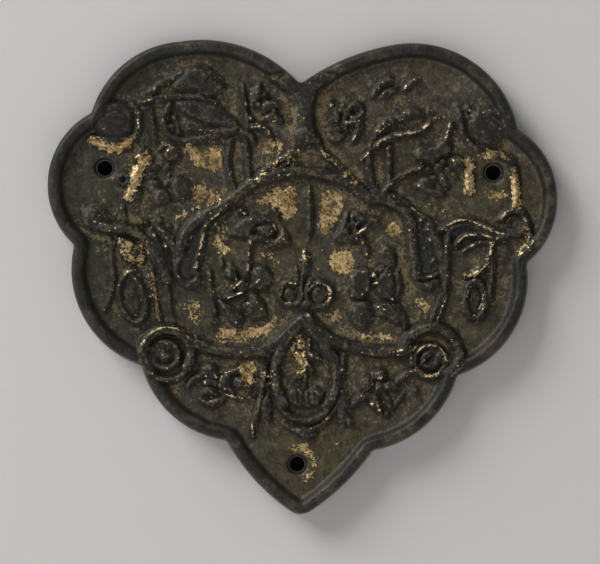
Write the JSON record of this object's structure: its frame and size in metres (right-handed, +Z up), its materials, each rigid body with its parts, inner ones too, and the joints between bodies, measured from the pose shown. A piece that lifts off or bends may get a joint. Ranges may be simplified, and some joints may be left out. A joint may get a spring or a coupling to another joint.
{
  "type": "wall plaque",
  "caption": "Lobed gilt bronze wall plaque with a rounded rim, raised scrolling leaves and flowers on its front, a pointed foot and a flat back with nail holes.",
  "frame": {"origin": "middle of the flat back face, where the plaque lies against the wall", "axes": "+X to the plaque's right as seen from the front, +Y into the wall, +Z up; the relief faces -Y"},
  "size_m": [0.078, 0.0032, 0.0726],
  "materials": {
    "gilt_bronze": "dark patinated cast bronze, blotched olive, grey and brown, with worn remains of gilding on the field and bright rubbed edges on the relief"
  },
  "bodies": {
    "root": {"plaque": "gilt_bronze"}
  },
  "joints": []
}
